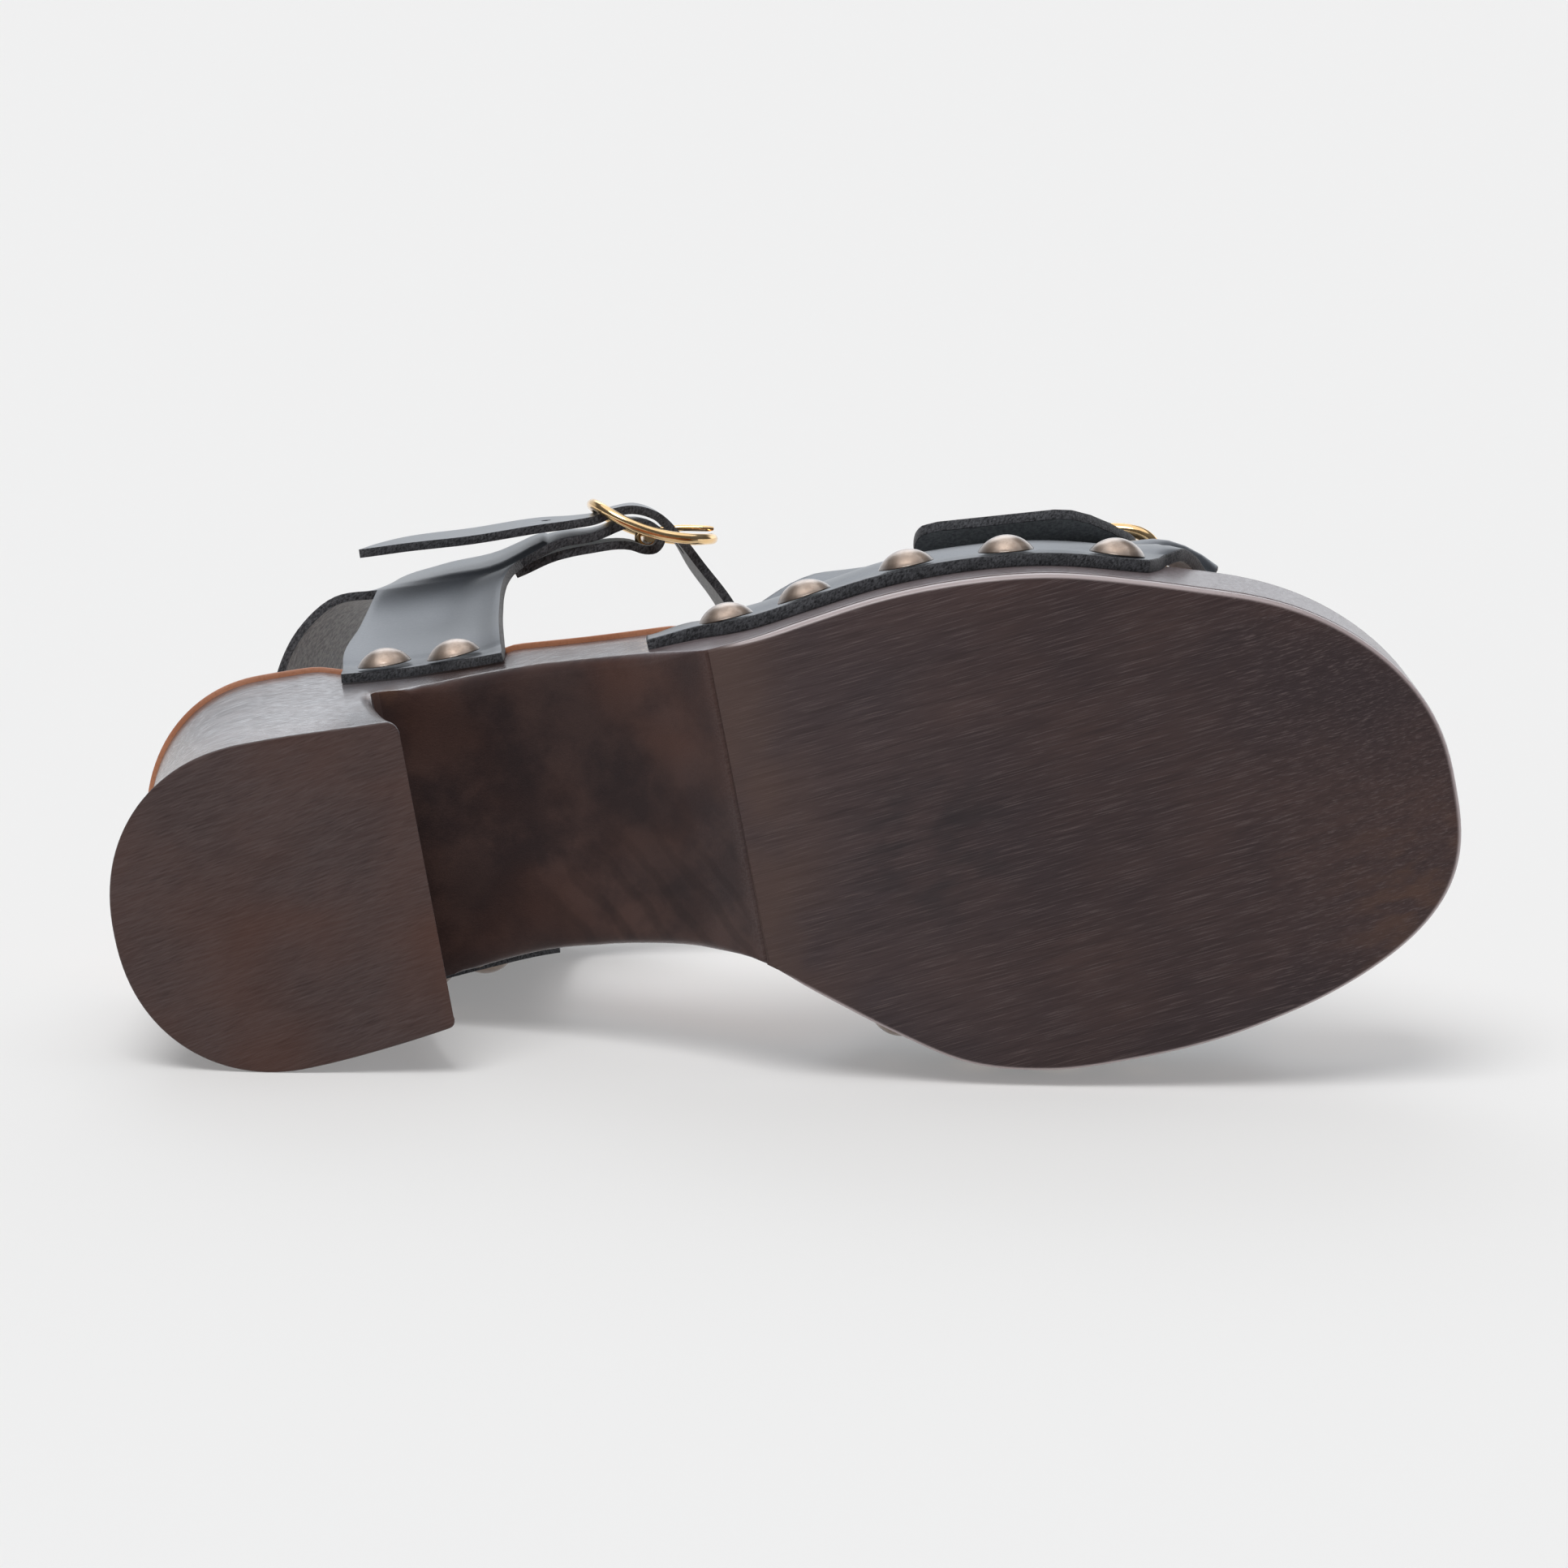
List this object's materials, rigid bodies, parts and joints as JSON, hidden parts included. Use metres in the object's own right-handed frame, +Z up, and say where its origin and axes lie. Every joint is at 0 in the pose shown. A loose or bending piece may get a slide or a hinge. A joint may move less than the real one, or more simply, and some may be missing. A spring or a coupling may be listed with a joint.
{
  "type": "wooden sole shoe",
  "caption": "Right clog sandal lying on its side: carved wooden sole with block heel, rubber half sole, nailed black leather vamp with a wide gold buckle, and a buckled ankle strap.",
  "frame": {"origin": "middle of the bounding box at the floor", "axes": "+X along the shoe from heel to toe, +Y from the sole's tread to the ankle strap, +Z up, out of the shoe's lateral side"},
  "size_m": [0.2528, 0.1374, 0.1033],
  "materials": {
    "wood": "dark stained, satin lacquer",
    "half_sole": "dark brown, fine brushed lines, matt",
    "insole": "tan, smooth",
    "leather": "black, smooth grain side, charcoal flesh side and cut edges",
    "gold": "polished gold colour",
    "stud": "antique, brushed"
  },
  "bodies": {
    "root": {"wooden_sole": "wood", "half_sole": "half_sole", "insole": "insole", "vamp_outer": "leather", "vamp_inner": "leather", "quarter_strap": "leather", "vamp_buckle": "gold", "vamp_prong": "gold", "ankle_buckle": "gold", "ankle_prong": "gold", "stud_vamp_lateral_1": "stud", "stud_vamp_lateral_2": "stud", "stud_vamp_lateral_3": "stud", "stud_vamp_lateral_4": "stud", "stud_vamp_lateral_5": "stud", "stud_quarter_lateral_1": "stud", "stud_quarter_lateral_2": "stud", "stud_vamp_medial_1": "stud", "stud_vamp_medial_2": "stud", "stud_vamp_medial_3": "stud", "stud_vamp_medial_4": "stud", "stud_vamp_medial_5": "stud", "stud_quarter_medial_1": "stud", "stud_quarter_medial_2": "stud"}
  },
  "joints": []
}
